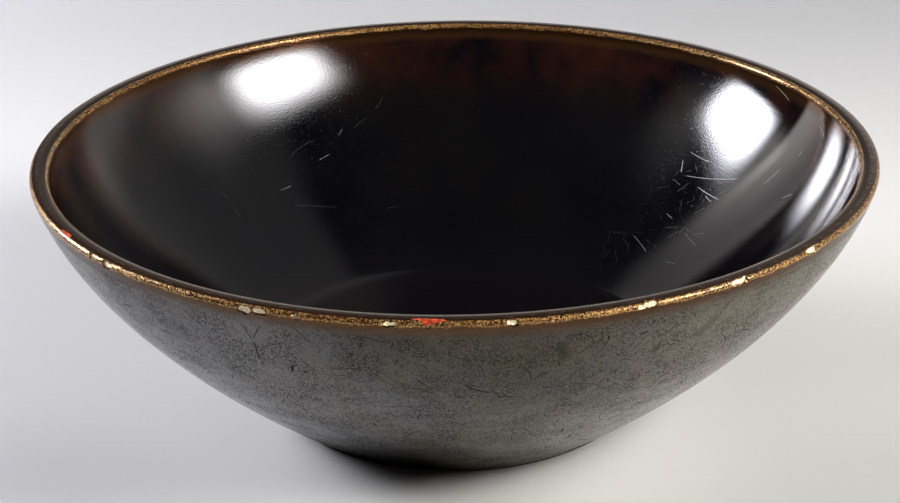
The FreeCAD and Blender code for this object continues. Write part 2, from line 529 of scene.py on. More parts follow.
# one along a line, from the distances across it and from its middle
def lineShape(tree, given, across, reach):
    thin = fadeBeyond(tree, across, given["Width"], lineFade["width"])
    return times(tree, thin, fadeBeyond(tree, reach, given["Length"], lineFade["length"]))


# fine bent lines scattered over a surface, at most one in each cell of a random division
def makeLinesGroup():
    values = "Cell Length Width Share Seed Bend"
    tree, given, result = newGroup("scattered lines", "Place", values, "Line")
    normal = addNode(tree, "NewGeometry").outputs["Normal"]
    cell = addNode(tree, "CombineXYZ", {0: given["Cell"], 1: given["Cell"], 2: given["Cell"]}).outputs[0]
    moved = vectorMaths(tree, "ADD", vectorMaths(tree, "DIVIDE", given["Place"], cell), given["Seed"])
    middle = addNode(tree, "TexVoronoi", {"Vector": moved, "Scale": 1.0}).outputs["Position"]
    away = vectorMaths(tree, "MULTIPLY", vectorMaths(tree, "SUBTRACT", moved, middle), cell)
    random = addNode(tree, "TexWhiteNoise", {"Vector": middle}).outputs
    toss = vectorMaths(tree, "SUBTRACT", random["Color"], (0.5, 0.5, 0.5))
    side = vectorMaths(tree, "NORMALIZE", vectorMaths(tree, "CROSS_PRODUCT", normal, toss))
    across = vectorMaths(tree, "DOT_PRODUCT", away, side)
    reach = vectorMaths(tree, "LENGTH", away)
    bend = times(tree, times(tree, reach, reach), times(tree, random["Value"], given["Bend"]))
    across = maths(tree, "ABSOLUTE", maths(tree, "SUBTRACT", across, bend))
    kept = maths(tree, "LESS_THAN", random["Value"], given["Share"])
    fill(result, {"Line": times(tree, lineShape(tree, given, across, reach), kept)})
    return tree


# one stroke: part of a round about a pole, so the farther the pole the straighter it is
def makeStrokeGroup():
    tree, given, result = newGroup("one stroke", "Place Middle Pole", "Bend Length Width", "Line")
    off = vectorMaths(tree, "DISTANCE", given["Place"], given["Pole"])
    across = maths(tree, "ABSOLUTE", maths(tree, "SUBTRACT", off, given["Bend"]))
    reach = vectorMaths(tree, "DISTANCE", given["Place"], given["Middle"])
    fill(result, {"Line": lineShape(tree, given, across, reach)})
    return tree


speckShape = {"smallest": 0.4, "core": 0.5}


# round specks: tiny pits or dust
def makeSpeckGroup():
    tree, given, result = newGroup("specks", "Place", "Cell Size Share", "Speck")
    scale = maths(tree, "DIVIDE", 1.0, given["Cell"])
    cells = addNode(tree, "TexVoronoi", {"Vector": given["Place"], "Scale": scale}).outputs
    reach = times(tree, cells["Distance"], given["Cell"])
    random = addNode(tree, "TexWhiteNoise", {"Vector": cells["Position"]}).outputs["Value"]
    size = times(tree, given["Size"], maths(tree, "ADD", random, speckShape["smallest"]))
    near = ease(tree, reach, size, times(tree, size, speckShape["core"]))
    fill(result, {"Speck": times(tree, near, maths(tree, "LESS_THAN", random, given["Share"]))})
    return tree


# the lip: red-brown band speckled with gold, partly painted glints; a painted highlight line; brown halo
# below; level brown top
lipBreak = {
    # gold: the glaze's specks, partly painted glints of the shoulder's highlight; line: a painted highlight
    # on the shoulder
    "gold": (0.60, 0.340, 0.110, 1),
    "line": (0.46, 0.290, 0.110, 1),
    "brown": (0.038, 0.015, 0.0045, 1),
    "red": (0.070, 0.023, 0.0070, 1),
    "halo": (0.088, 0.038, 0.0115, 1),
    "top": (0.038, 0.022, 0.0120, 1),
    "edge": (0.040, 0.016, 0.0055, 1),
    "outerLow": 0.0887,
    "innerLow": 0.0890,
    "haloDepth": 0.0050,
    "bandSoft": (0.0005, 0.0004),
    "topDepths": (0.00016, 0.00002),
    "paintedHighlightSpan": (0.0888, 0.0892, 0.0002),
    "innerEdge": (0.0020, 0.0012),
    "edgePlace": (0.1366, 0.1384),
    "sway": [((160, 3), 0.0016), ((1400, 2), 0.0012)],
    "speckles": (2100.0, 2, 0.6, 0.49, 0.60),
    "warmth": (38, 2, 0.5, 0.42, 0.62),
    "paintedHighlightShares": (0.3, 0.7),
    "haloShare": 0.93,
    "topShare": 0.85,
    "dome": 58.0,
    "bandRelief": 0.5,
    "roughness": 0.12,
    "metallic": 0.50,
    "haloMetallic": 0.90,
    "haloRoughness": 0.18,
    "haloSkin": 0.12,
    "bandSkin": 0.42,
    "ior": 1.45,
}


# where the glaze thins over the lip and breaks brown, and a painted highlight line round the shoulder
def makeBreakGroup():
    lip = lipBreak
    outputs = "Band Line Halo Top Speckle Warm"
    tree, given, result = newGroup("lip break", "Place", "Height Inside", outputs)
    level = given["Height"]
    for pattern, depth in lip["sway"]:
        shift = maths(tree, "MULTIPLY_ADD", noiseValue(tree, given["Place"], *pattern), depth, -depth / 2)
        level = maths(tree, "ADD", level, shift)
    low = mixValue(tree, given["Inside"], lip["outerLow"], lip["innerLow"])
    below, above = lip["bandSoft"]
    upper = ease(tree, level, maths(tree, "SUBTRACT", low, below), maths(tree, "ADD", low, above))
    halo = ease(tree, level, maths(tree, "SUBTRACT", low, lip["haloDepth"]), low)
    # a painted highlight line round the outer shoulder
    line = window(tree, level, *lip["paintedHighlightSpan"])
    top = ease(tree, given["Height"], *[bowl["height"] - depth for depth in lip["topDepths"]])
    fill(result, {
        "Band": times(tree, upper, rest(tree, top)),
        "Halo": times(tree, halo, rest(tree, top)),
        "Line": times(tree, line, rest(tree, given["Inside"])),
        "Top": top,
        "Speckle": patches(tree, given["Place"], *lip["speckles"]),
        "Warm": patches(tree, given["Place"], *lip["warmth"]),
    })
    return tree


placeGroup = makePlaceGroup()
linesGroup = makeLinesGroup()
strokeGroup = makeStrokeGroup()
speckGroup = makeSpeckGroup()
breakGroup = makeBreakGroup()

# Marks: the degrees round from +X and the height of its start, middle and end, its width and its
# strength, with the heights and the width in millimetres.
outerMarks = [
    (270.6, 65.8, 272.3, 62.3, 275.0, 60.3, 0.56, 0.98),
    (265.2, 63.9, 266.9, 63.5, 268.5, 63.3, 0.44, 0.69),
    (265.3, 63.0, 267.0, 62.5, 268.7, 62.4, 0.37, 0.57),
    (263.7, 45.6, 264.2, 48.1, 264.6, 50.0, 0.56, 0.80),
    (264.4, 47.6, 265.2, 48.6, 266.0, 48.9, 0.44, 0.80),
    (278.2, 42.7, 278.6, 43.5, 279.0, 44.3, 0.56, 0.92),
    (279.7, 65.0, 280.3, 67.1, 281.1, 68.7, 0.50, 0.80),
    (280.7, 67.0, 281.2, 68.2, 281.7, 69.3, 0.50, 0.80),
    (292.0, 23.9, 292.0, 25.5, 292.0, 27.0, 0.75, 1.00),
    (288.7, 30.8, 288.6, 32.3, 288.5, 33.8, 0.69, 0.92),
    (290.9, 35.0, 292.1, 32.1, 293.5, 28.9, 0.50, 0.69),
    (256.5, 42.4, 256.6, 40.5, 256.9, 39.2, 0.56, 0.92),
    (260.0, 71.0, 261.5, 67.2, 263.3, 65.1, 0.44, 0.57),
    (292.2, 79.0, 293.0, 79.5, 293.7, 79.7, 0.75, 0.92),
    (288.3, 79.1, 288.3, 80.1, 288.3, 81.1, 0.63, 0.92),
    (289.6, 56.9, 290.4, 56.6, 291.2, 56.4, 0.50, 0.80),
    (294.2, 54.1, 295.0, 53.8, 295.7, 53.7, 0.50, 0.80),
    (243.5, 83.8, 243.8, 80.5, 244.2, 77.2, 0.40, 0.92),
    (244.2, 77.2, 244.1, 72.5, 243.6, 67.2, 0.45, 1.00),
    (246.2, 84.2, 245.2, 80.9, 244.2, 77.2, 0.37, 0.86),
    (248.6, 69.0, 248.3, 67.2, 247.9, 65.2, 0.69, 0.98),
    (250.2, 67.5, 250.0, 66.5, 249.8, 65.5, 0.63, 0.92),
    (247.8, 53.9, 248.4, 52.4, 249.1, 50.8, 0.50, 0.86),
    (232.5, 75.2, 232.7, 74.3, 232.9, 73.5, 0.75, 0.98),
    (227.4, 69.3, 228.1, 69.0, 228.9, 68.8, 0.63, 0.92),
    (282.2, 81.7, 282.8, 77.1, 283.4, 72.2, 3.25, 0.52),
    (295.2, 69.2, 295.7, 71.0, 296.2, 72.8, 2.75, 0.57),
    (296.6, 64.2, 297.3, 64.4, 298.1, 64.5, 2.50, 0.52),
    (301.2, 71.5, 302.8, 75.7, 304.6, 80.0, 4.25, 0.46),
]
innerMarks = [
    (124.7, 51.9, 121.0, 54.8, 116.7, 56.3, 0.20, 0.12),
    (110.0, 57.2, 107.9, 59.1, 106.1, 60.6, 0.18, 0.12),
    (104.8, 62.2, 103.7, 64.3, 102.8, 66.3, 0.18, 0.11),
    (112.9, 55.8, 112.2, 56.9, 111.5, 58.1, 0.22, 0.24),
    (118.5, 49.8, 116.9, 50.5, 115.3, 51.2, 0.23, 0.29),
    (129.7, 44.2, 128.0, 44.4, 126.3, 44.7, 0.24, 0.30),
    (129.4, 39.8, 123.5, 37.6, 117.7, 35.9, 0.18, 0.12),
    (106.5, 33.4, 104.9, 33.6, 103.2, 33.7, 0.18, 0.11),
    (142.8, 49.5, 142.5, 47.9, 142.2, 46.5, 0.18, 0.14),
    (142.6, 44.6, 142.6, 42.9, 142.6, 40.9, 0.18, 0.12),
    (41.3, 55.9, 40.7, 53.9, 40.0, 52.0, 0.25, 0.60),
    (40.0, 51.4, 32.3, 53.8, 25.0, 58.0, 0.20, 0.34),
    (41.0, 58.6, 37.9, 57.9, 34.6, 57.8, 0.19, 0.30),
    (34.8, 50.2, 30.8, 49.7, 26.5, 49.7, 0.24, 0.45),
    (31.3, 49.1, 29.9, 48.5, 28.4, 48.3, 0.25, 0.45),
    (42.6, 32.7, 38.6, 31.1, 34.4, 29.7, 0.20, 0.26),
    (37.5, 40.6, 36.2, 40.2, 34.8, 39.9, 0.20, 0.30),
    (27.8, 29.7, 25.9, 30.4, 23.8, 30.9, 0.19, 0.22),
    (28.1, 37.7, 25.4, 37.3, 22.5, 37.0, 0.18, 0.20),
    (19.4, 59.0, 18.6, 62.6, 17.7, 66.3, 0.20, 0.30),
    (15.5, 71.7, 15.4, 73.0, 15.3, 74.3, 0.22, 0.34),
    (11.9, 59.8, 10.9, 61.5, 9.7, 63.1, 0.24, 0.41),
    (14.9, 86.5, 15.0, 85.0, 14.8, 83.8, 0.20, 0.41),
    (14.8, 83.8, 13.0, 82.7, 11.4, 81.4, 0.20, 0.38),
    (29.6, 87.6, 26.9, 86.2, 23.8, 84.3, 0.18, 0.22),
]
wallShares = [number / 100 for number in range(101)]
wallCurves = {
    "outer": [curvePoint(outerPoles, share) for share in wallShares],
    "inner": [curvePoint(innerPoles, share) for share in wallShares],
}
strokeSteps = {"upStep": 0.0005, "turnStep": 0.2, "leastSag": 0.02}


# a point of the wall, from the degrees round from +X and the height
def wallPoint(side, degrees, height):
    points = wallCurves[side]
    above = next(number for number, point in enumerate(points) if point.z >= height)
    lower, upper = points[above - 1], points[above]
    section = lower.lerp(upper, (height - lower.z) / (upper.z - lower.z))
    return Matrix.Rotation(math.radians(degrees), 4, "Z") @ section


# a mark's middle, the pole whose round gives its bend within the wall, the bend and the length
def strokeShape(side, places):
    start, middle, end = [wallPoint(side, *place) for place in places]
    degrees, height = places[1]
    up, turn = strokeSteps["upStep"], strokeSteps["turnStep"]
    upwards = wallPoint(side, degrees, height + up) - wallPoint(side, degrees, height - up)
    onwards = wallPoint(side, degrees + turn, height) - wallPoint(side, degrees - turn, height)
    run = end - start
    sideways = upwards.cross(onwards).cross(run).normalized()
    sag = (middle - (start + end) / 2).dot(sideways)
    bend = run.length_squared / (8 * max(abs(sag), run.length * strokeSteps["leastSag"]))
    pole = middle - sideways * math.copysign(bend, sag)
    return middle, pole, bend, run.length


# the strongest of the marks placed one by one
def placedMarks(tree, place, side, marks):
    lines = []
    for *along, width, strength in marks:
        places = [(degrees, height * mm) for degrees, height in zip(along[0::2], along[1::2])]
        line = useGroup(tree, strokeGroup, place, *strokeShape(side, places), width * mm)["Line"]
        lines.append(times(tree, line, strength))
    return strongest(tree, lines)


# lines or specks as one row of a finish gives them
def scattered(tree, group, place, row):
    *values, strength = row
    return times(tree, useGroup(tree, group, place, *values)[0], strength)


def newMaterial(name):
    material = bpy.data.materials.new(name)
    material.use_nodes = True
    tree = material.node_tree
    place = addNode(tree, "TexCoord").outputs["Object"]
    return material, tree, tree.nodes["Principled BSDF"], place


def addRelief(tree, shader, height, strength, distance):
    relief = addNode(tree, "Bump", {"Strength": strength, "Distance": distance, "Height": height})
    fill(shader, {"Normal": relief.outputs["Normal"]})


# Finishes. A noise has its scale, detail and roughness, and with four or more numbers also the two
# levels that it is eased between and the values there. A line's row has its cell, length, width,
# share, seed, bend and strength, and a speck's row its cell, size, share and strength.
outerFinish = {
    "grey": (0.036, 0.035, 0.036, 1),
    "olive": (0.046, 0.039, 0.018, 1),
    "warm": (0.050, 0.031, 0.016, 1),
    # left and right: painted sheen for the flanks, bluish at the left and warm at the right like the lamps
    # there
    "left": (0.115, 0.113, 0.110, 1),
    "right": (0.132, 0.116, 0.072, 1),
    # pale: a painted sheen low on the right side
    "pale": (0.200, 0.186, 0.155, 1),
    # marks: the dark hair lines and grain, and also the painted shade near the foot
    "marks": (0.004, 0.003, 0.002, 1),
    "dust": (0.55, 0.54, 0.50, 1),
    "clouds": (24, 4, 0.6, 0.38, 0.62),
    "warmth": (33, 3, 0.5, 0.52, 0.72, 0.0, 0.6),
    "streaks": (60, 4, 0.6, 0.35, 0.68, 1.0, 0.84),
    "streakStretch": (1, 1, 5),
    "fine": (1600, 3, 0.8),
    "fineRelief": 0.6,
    "grain": (0.55, 0.43, 0.0, 0.8),
    "grainPatches": (75, 3, 0.6, 0.36, 0.62, 0.45, 1.0),
    "fromLeft": (-0.05, 0.05),
    "sideways": (0.015, 0.075),
    "paintedFlankShare": 0.8,
    "paintedSheenHeight": (0.060, 0.025, 0.0, 0.8),
    "paintedSheenSide": (0.0, 0.05),
    "underLip": (0.076, 0.088, 0.0, 0.6),
    "hairPatches": (48, 2, 0.5, 0.44, 0.60),
    "crackle": (0.0026, 0.0030, 0.00030, 0.9, 5.0, 110.0, 0.70),
    "shortHairs": (0.0040, 0.0048, 0.00034, 0.7, 9.0, 110.0, 0.85),
    "longHairs": (0.012, 0.014, 0.00034, 0.40, 3.0, 110.0, 0.85),
    "dustSpecks": (0.019, 0.00034, 0.3, 0.8),
    # where the painted shade near the foot lies: its middle, reach and height
    "paintedShadeMiddle": 0.024,
    "paintedShadeReach": (0.034, 0.010),
    "paintedShadeHeight": (0.032, 0.002),
    "roughness": 0.5,
    "skinIor": 1.9,
    "skinRoughness": 0.09,
    "skin": (0.045, 0.082, 0.70, 0.53),
    "flankSkin": 1.0,
    "lowSkin": 0.06,
    "markSkin": 0.08,
}


# the outside: satin graphite, clouded and leathery, dark hair lines in clusters, painted sheen and shade
def outerLook(tree, place):
    finish = outerFinish
    parts = axes(tree, place)
    # painted sheen: the flanks made lighter, bluish at the left and warm at the right, as the lamps and lit
    # floor show there
    paintedFlankSheen = mixColour(tree, ease(tree, parts["X"], *finish["fromLeft"]), finish["left"], finish["right"])
    sideways = ease(tree, maths(tree, "ABSOLUTE", parts["X"]), *finish["sideways"])
    # painted sheen low on the right, where the glaze mirrors the lit floor
    paintedLowSheen = ease(tree, parts["Z"], *finish["paintedSheenHeight"])
    colour = layered(
        tree, finish["grey"],
        (patches(tree, place, *finish["clouds"]), finish["olive"]),
        (patches(tree, place, *finish["warmth"]), finish["warm"]),
        (times(tree, sideways, finish["paintedFlankShare"]), paintedFlankSheen),
        (times(tree, paintedLowSheen, ease(tree, parts["X"], *finish["paintedSheenSide"])), finish["pale"]),
        (ease(tree, parts["Z"], *finish["underLip"]), finish["warm"]),
    )

    # marks: hair lines in clusters, the larger ones placed one by one, and a leathery grain
    shortHairs = scattered(tree, linesGroup, place, finish["shortHairs"])
    shortHairs = times(tree, shortHairs, patches(tree, place, *finish["hairPatches"]))
    longHairs = scattered(tree, linesGroup, place, finish["longHairs"])
    hairs = strongest(tree, [scattered(tree, linesGroup, place, finish["crackle"]), shortHairs, longHairs])
    fine = noiseValue(tree, place, *finish["fine"])
    grain = times(tree, ease(tree, fine, *finish["grain"]), patches(tree, place, *finish["grainPatches"]))
    marks = strongest(tree, [hairs, placedMarks(tree, place, "outer", outerMarks), grain])
    dust = scattered(tree, speckGroup, place, finish["dustSpecks"])

    # the mirroring skin over it, weaker at the front, in the painted shade near the foot and on marks
    skin = mixValue(tree, sideways, ease(tree, parts["Z"], *finish["skin"]), finish["flankSkin"])
    # dark: painted shade low at the front near the foot, as the floor mirrored there lies in the bowl's
    # shadow
    off = maths(tree, "ABSOLUTE", maths(tree, "ADD", parts["X"], finish["paintedShadeMiddle"]))
    dark = times(tree, ease(tree, parts["Z"], *finish["paintedShadeHeight"]), ease(tree, off, *finish["paintedShadeReach"]))
    skin = mixValue(tree, dark, skin, finish["lowSkin"])
    # laid over: the marks, the dust and the painted shade near the foot
    colour = layered(tree, colour, (marks, finish["marks"]), (dust, finish["dust"]), (dark, finish["marks"]))
    stretched = vectorMaths(tree, "MULTIPLY", place, finish["streakStretch"])
    marked = mixValue(tree, marks, 1.0, finish["markSkin"])
    skin = product(tree, [skin, patches(tree, stretched, *finish["streaks"]), marked])
    height = maths(tree, "SUBTRACT", times(tree, fine, finish["fineRelief"]), hairs)
    return colour, finish["roughness"], height, skin


innerFinish = {
    "dark": (0.0015, 0.0014, 0.0026, 1),
    "well": (0.0040, 0.0036, 0.0048, 1),
    "wellLeft": (0.0125, 0.0120, 0.0120, 1),
    "veil": (0.0036, 0.0032, 0.0034, 1),
    "rimTint": (0.0260, 0.0065, 0.0030, 1),
    "scratch": (0.22, 0.215, 0.205, 1),
    "clouds": (14, 4, 0.6),
    "veilLevels": (0.45, 0.70),
    "wellHeight": (0.030, 0.012),
    "leftSide": (-0.014, -0.042),
    "leftHeight": (0.0185, 0.0145),
    "tintHeight": (0.060, 0.088),
    "tintPatches": (55, 3, 0.5, 0.3, 0.7),
    "wornMiddle": (0.078, 0.050, 0.045),
    "wornReach": (0.015, 0.045, 1.0, 0.10),
    "wornPatches": (40, 2, 0.5, 0.42, 0.60),
    "shortLines": (0.0050, 0.0070, 0.00008, 0.8, 5.0, 50.0, 0.27),
    "longLines": (0.0130, 0.0180, 0.00009, 0.8, 12.0, 20.0, 0.27),
    "farLines": (0.026, 0.022, 0.00014, 0.35, 1.0, 20.0, 0.05),
    "specks": (0.0120, 0.00024, 0.35, 0.4),
    "eastern": (0.090, 0.118),
    "pits": (1650, 2, 0.65),
    "pitRelief": (0.50, 0.12),
    "rings": (330, 2, 0.6),
    "ringStretch": (0.10, 0.10, 1),
    "ringRelief": 0.36,
    "cloudRoughness": (0.4, 0.75, 0.045, 0.075),
    "tinySpecks": (0.0011, 0.00030, 0.75, 1.0),
    "tinyRoughness": (0.24, 0.09),
    "wellRoughness": (0.0140, 0.0270, 0.13, 0.0),
    "scratchRoughness": (0.0, 0.3, 0.0, 0.4),
    "ior": 1.65,
}


# the inside: mirror black with fine pits, scratches and pale specks, and redder below the rim
def innerLook(tree, place, height):
    finish = innerFinish
    across = axes(tree, place)["X"]
    clouds = noiseValue(tree, place, *finish["clouds"])
    left = times(tree, ease(tree, across, *finish["leftSide"]), ease(tree, height, *finish["leftHeight"]))
    well = mixColour(tree, left, finish["well"], finish["wellLeft"])
    tint = patches(tree, place, *finish["tintPatches"])
    colour = layered(
        tree, finish["dark"],
        (ease(tree, clouds, *finish["veilLevels"]), finish["veil"]),
        (ease(tree, height, *finish["wellHeight"]), well),
        (times(tree, tint, ease(tree, height, *finish["tintHeight"])), finish["rimTint"]),
    )

    # scratches where the wall is worn, few elsewhere, and the larger ones placed one by one
    fromWorn = vectorMaths(tree, "DISTANCE", place, finish["wornMiddle"])
    near = [scattered(tree, linesGroup, place, finish[row]) for row in ("shortLines", "longLines")]
    worn = [ease(tree, fromWorn, *finish["wornReach"]), patches(tree, place, *finish["wornPatches"])]
    marks = strongest(tree, [
        product(tree, [strongest(tree, near), *worn]),
        scattered(tree, linesGroup, place, finish["farLines"]),
        scattered(tree, speckGroup, place, finish["specks"]),
        placedMarks(tree, place, "inner", innerMarks),
    ])
    colour = mixColour(tree, marks, colour, finish["scratch"])

    # relief: fine pits, and on the +X side smooth turning rings instead
    eastern = ease(tree, across, *finish["eastern"])
    pits = ease(tree, eastern, 0, 1, *finish["pitRelief"])
    pits = times(tree, noiseValue(tree, place, *finish["pits"]), pits)
    flattened = vectorMaths(tree, "MULTIPLY", place, finish["ringStretch"])
    rings = times(tree, noiseValue(tree, flattened, *finish["rings"]), eastern)
    relief = maths(tree, "MULTIPLY_ADD", rings, finish["ringRelief"], pits)
    tiny = scattered(tree, speckGroup, place, finish["tinySpecks"])
    rough = strongest(tree, [
        ease(tree, clouds, *finish["cloudRoughness"]),
        times(tree, tiny, ease(tree, eastern, 0, 1, *finish["tinyRoughness"])),
        ease(tree, height, *finish["wellRoughness"]),
        ease(tree, marks, *finish["scratchRoughness"]),
    ])
    return colour, rough, relief


glazeRelief = {"strength": 0.8, "distance": 0.00006}


# one fired glaze, seen as three looks that run into each other over the lip
def makeGlaze(name, side):
    lip = lipBreak
    material, tree, shader, place = newMaterial(name)
    where = useGroup(tree, placeGroup, place)
    inside = 1.0 if side == "inner" else 0.0
    if side != "inner":
        colour, rough, height, skin = outerLook(tree, place)
    if side == "inner":
        colour, rough, height = innerLook(tree, place, where["Height"])
    if side == "lip":
        start, end = [outerCentre.x - distance for distance in lip["innerEdge"]]
        inside = ease(tree, where["Radius"], end, start)
        innerColour, innerRough, innerHeight = innerLook(tree, place, where["Height"])
        colour = mixColour(tree, inside, colour, innerColour)
        rough = mixValue(tree, inside, rough, innerRough)
        height = mixValue(tree, inside, height, innerHeight)
    broken = useGroup(tree, breakGroup, place, where["Height"], inside)
    # the painted highlight line, lighter on the gold specks
    line = mixValue(tree, broken["Speckle"], *lip["paintedHighlightShares"])
    band = layered(
        tree, lip["brown"],
        (broken["Warm"], lip["red"]),
        # gold specks, partly painted glints, and the painted highlight line
        (broken["Speckle"], lip["gold"]),
        (times(tree, broken["Line"], line), lip["line"]),
    )
    outermost = ease(tree, where["Radius"], *lip["edgePlace"])
    top = mixColour(tree, outermost, lip["top"], lip["edge"])
    colour = layered(
        tree, colour,
        (times(tree, broken["Halo"], lip["haloShare"]), lip["halo"]),
        (broken["Band"], band),
        (times(tree, broken["Top"], lip["topShare"]), top),
    )
    if side != "inner":
        rough = mixValue(tree, broken["Halo"], rough, lip["haloRoughness"])
    rough = mixValue(tree, broken["Band"], rough, lip["roughness"])
    rough = mixValue(tree, times(tree, broken["Top"], rest(tree, inside)), rough, lip["roughness"])
    metallic = times(tree, broken["Halo"], lip["haloMetallic"])
    bandOrTop = maths(tree, "MAXIMUM", broken["Band"], broken["Top"])
    metallic = mixValue(tree, bandOrTop, metallic, lip["metallic"])
    speckled = times(tree, broken["Band"], broken["Speckle"])
    height = maths(tree, "MULTIPLY_ADD", speckled, lip["bandRelief"], height)
    if side == "lip":
        # the level top catches the light as a slightly domed one would
        off = maths(tree, "SUBTRACT", where["Radius"], outerCentre.x - bowl["lipFlat"] / 2)
        drop = -lip["dome"] / glazeRelief["distance"]
        dome = times(tree, times(tree, off, off), times(tree, broken["Top"], drop))
        height = maths(tree, "ADD", height, dome)
    fill(shader, {
        "Base Color": colour,
        "Roughness": rough,
        "Metallic": metallic,
        "IOR": innerFinish["ior"] if side == "inner" else lip["ior"],
    })
    if side == "outer":
        skin = mixValue(tree, broken["Halo"], skin, lip["haloSkin"])
        fill(shader, {
            "Coat Weight": mixValue(tree, broken["Band"], skin, lip["bandSkin"]),
            "Coat IOR": outerFinish["skinIor"],
            "Coat Roughness": outerFinish["skinRoughness"],
            "Specular IOR Level": 0.0,
        })
    addRelief(tree, shader, height, **glazeRelief)
    return material


# fired clay, seen in the chips and on the foot ring: pale, grainy and matt
clayFinish = {
    "light": (0.95, 0.85, 0.60, 1),
    "deep": (0.78, 0.62, 0.36, 1),
    "stain": (0.30, 0.18, 0.08, 1),
    "grain": (1300, 3, 0.6),
    "levels": (0.35, 0.65),
    "stains": (260, 3, 0.5, 0.60, 0.74, 0.0, 0.5),
    "relief": (0.6, 0.0001),
    "roughness": 0.8,
}
# the red fills: streaky lacquer
lacquerFinish = {
    "light": (0.66, 0.095, 0.030, 1),
    "deep": (0.24, 0.022, 0.010, 1),
    "grain": (700, 3, 0.6),
    "levels": (0.40, 0.60),
    "relief": (0.5, 0.0001),
    "roughness": 0.32,
}


# two colours in a fine grain that is also the relief, and stains where a finish has them
def makeGrainy(name, finish):
    material, tree, shader, place = newMaterial(name)
    grain = noiseValue(tree, place, *finish["grain"])
    colour = mixColour(tree, ease(tree, grain, *finish["levels"]), finish["deep"], finish["light"])
    if "stains" in finish:
        colour = mixColour(tree, patches(tree, place, *finish["stains"]), colour, finish["stain"])
    fill(shader, {"Base Color": colour, "Roughness": finish["roughness"]})
    addRelief(tree, shader, grain, *finish["relief"])
    return material


clay = makeGrainy("fired clay", clayFinish)
glazes = {side: makeGlaze(side + " glaze", side) for side in ("outer", "lip", "inner")}
lacquer = makeGrainy("red lacquer", lacquerFinish)
print("materials made")


def dress(piece, materials, node):
    piece.data.materials.clear()
    for material in materials:
        piece.data.materials.append(material)
    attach(piece, "root")
    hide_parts(node)


dress(clayBody, [clay, clay], "clay_body")
dress(outerGlaze, [glazes["outer"], clay], "outer_glaze")
dress(lipGlaze, [glazes["lip"], clay], "lip_glaze")
dress(innerGlaze, [glazes["inner"]], "inner_glaze")
dress(baseGlaze, [glazes["outer"]], "base_glaze")
dress(frontFill, [lacquer, lacquer], "front_fill")
dress(leftFill, [lacquer, lacquer], "left_fill")
print("pieces dressed")

# Floor and light. Directions: azimuth from -Y towards +X, elevation above level, both in degrees.
rightTint = (1.0, 0.985, 1.0)
leftTint = (0.95, 0.96, 1.10)
glossTint = (0.97, 0.98, 1.06)
studio = {
    "floorRadius": 4.0,
    "floorSides": 96,
    "floorDrop": 0.0001,
    "floorRoughness": 0.9,
    "floorGloss": 0.1,
    "floorColour": (0.66, 0.65, 0.60, 1),
    # the shaded colour is painted shade on the paper
    "shadedColour": (0.50, 0.495, 0.47, 1),
    "farShade": (0.05, 0.50),
    "nearShade": (0.085, 0.155),
    "nearShadeDepth": (0.0, -0.08, 0.0, 0.9),
    "rightShade": (0.045, 0.115),
    "rightShadeDepth": (0.10, 0.0, 0.0, 0.55),
    "floorFade": (0.7, 1.7),
    "skyForCamera": (0.62, 0.61, 0.60, 1),
    "black": (0, 0, 0, 1),
    "fill": 0.01,
    # soft boxes: name, azimuth, elevation, distance, roll, width, height, radiance, colour, and the
    # fades of those that the glaze mirrors; the others light the floor and the matt parts
    "plainFades": (0.17, 0.17, 0.17, 0.17),
    "boxes": [
        ("right shade", 62.8, 38.2, 1.12, 2, 0.71, 0.455, 20, rightTint, None),
        ("right wing", 48, 38, 1.2, -12, 0.84, 0.216, 11.2, rightTint, None),
        ("right glow", 92, 26, 1.2, 0, 0.42, 0.30, 5.3, rightTint, None),
        ("left shade", -111.5, 26.9, 1.28, -4.5, 0.708, 0.424, 29, leftTint, None),
        ("left wing", -92, 33, 1.2, 26, 0.96, 0.216, 11.4, leftTint, None),
        ("right gloss", 65.2, 39.5, 1.16, -3.6, 0.80, 0.56, 34, rightTint, (0.38, 0.44, 0.36, 0.50)),
        ("left gloss", -113, 28.9, 1.16, 6.6, 0.588, 0.422, 80, glossTint, (0.50, 0.40, 0.36, 0.54)),
    ],
}


# plain paper with painted shade far behind, near in front and at the front right, that fades into the sky
def makeFloor():
    bm = bmesh.new()
    bmesh.ops.create_circle(bm, cap_ends=True, segments=studio["floorSides"], radius=studio["floorRadius"])
    bmesh.ops.translate(bm, verts=bm.verts, vec=(0, 0, -studio["floorDrop"]))
    floor = finishMesh("floor", bm)
    material, tree, shader, place = newMaterial("floor paper")
    radius = vectorMaths(tree, "LENGTH", place)
    parts = axes(tree, place)
    near = ease(tree, radius, *studio["nearShade"])
    right = ease(tree, parts["X"], *studio["rightShade"])
    far = ease(tree, radius, *studio["floorFade"])
    paper = layered(
        tree, studio["floorColour"],
        (ease(tree, parts["Y"], *studio["farShade"]), studio["shadedColour"]),
        (times(tree, near, ease(tree, parts["Y"], *studio["nearShadeDepth"])), studio["shadedColour"]),
        (times(tree, right, ease(tree, parts["Y"], *studio["rightShadeDepth"])), studio["shadedColour"]),
        (far, studio["black"]),
    )
    glow = mixColour(tree, far, studio["black"], studio["skyForCamera"])
    fill(shader, {"Base Color": paper, "Emission Color": glow, "Emission Strength": 1.0})
    fill(shader, {"Roughness": studio["floorRoughness"], "Specular IOR Level": studio["floorGloss"]})
    floor.data.materials.append(material)


